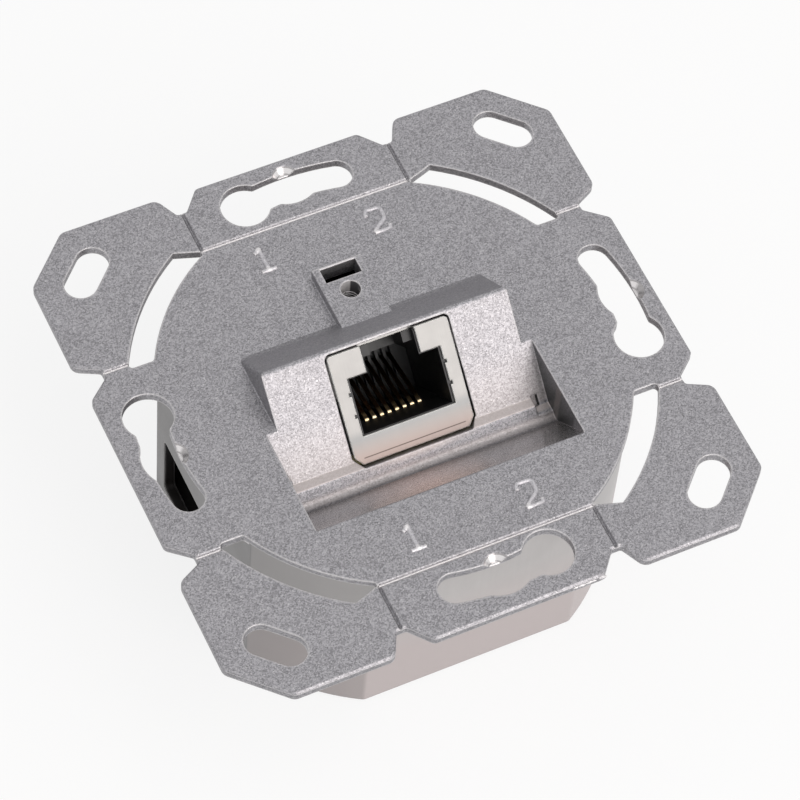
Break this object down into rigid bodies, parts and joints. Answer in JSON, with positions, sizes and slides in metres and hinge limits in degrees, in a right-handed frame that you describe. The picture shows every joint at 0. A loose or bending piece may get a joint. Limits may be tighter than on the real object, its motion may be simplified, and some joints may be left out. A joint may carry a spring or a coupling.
{
  "type": "ethernet socket insert",
  "caption": "Shielded network socket insert for a round flush box: cast plate with a slanted jack in a trough, break-off corner tabs and a round rear housing.",
  "frame": {"origin": "middle of the mounting plate, on its rear face, the face that lies on the wall", "axes": "+Z out of the wall, +Y up the plate, +X to the right seen from the front; the jack looks down and out"},
  "size_m": [0.0708, 0.0708, 0.0349],
  "materials": {
    "cast_zinc": "sparkling die-cast zinc, fine grain",
    "housing_metal": "smooth satin, light grey",
    "nickel_sheet": "satin nickel-plated sheet",
    "black_plastic": "black, half gloss",
    "white_plastic": "natural white, half gloss",
    "gold_plate": "gold-plated spring",
    "tinned_bronze": "tinned",
    "board_green": "green solder mask on glass-fibre laminate",
    "zinc_steel": "bright zinc-plated steel"
  },
  "bodies": {
    "root": {"blade_1": "tinned_bronze", "blade_2": "tinned_bronze", "blade_3": "tinned_bronze", "blade_4": "tinned_bronze", "blade_5": "tinned_bronze", "blade_6": "tinned_bronze", "blade_7": "tinned_bronze", "blade_8": "tinned_bronze", "board_screws": "zinc_steel", "cable_clamp": "zinc_steel", "circuit_board": "board_green", "clamp_screws": "zinc_steel", "contact_1": "gold_plate", "contact_2": "gold_plate", "contact_3": "gold_plate", "contact_4": "gold_plate", "contact_5": "gold_plate", "contact_6": "gold_plate", "contact_7": "gold_plate", "contact_8": "gold_plate", "contact_carrier": "black_plastic", "earth_spring_left": "tinned_bronze", "earth_spring_right": "tinned_bronze", "housing_screws": "zinc_steel", "jack_body": "black_plastic", "jack_shield": "nickel_sheet", "mounting_plate": "cast_zinc", "rear_housing": "housing_metal", "terminal_block_left": "white_plastic", "terminal_block_right": "white_plastic"}
  },
  "joints": []
}
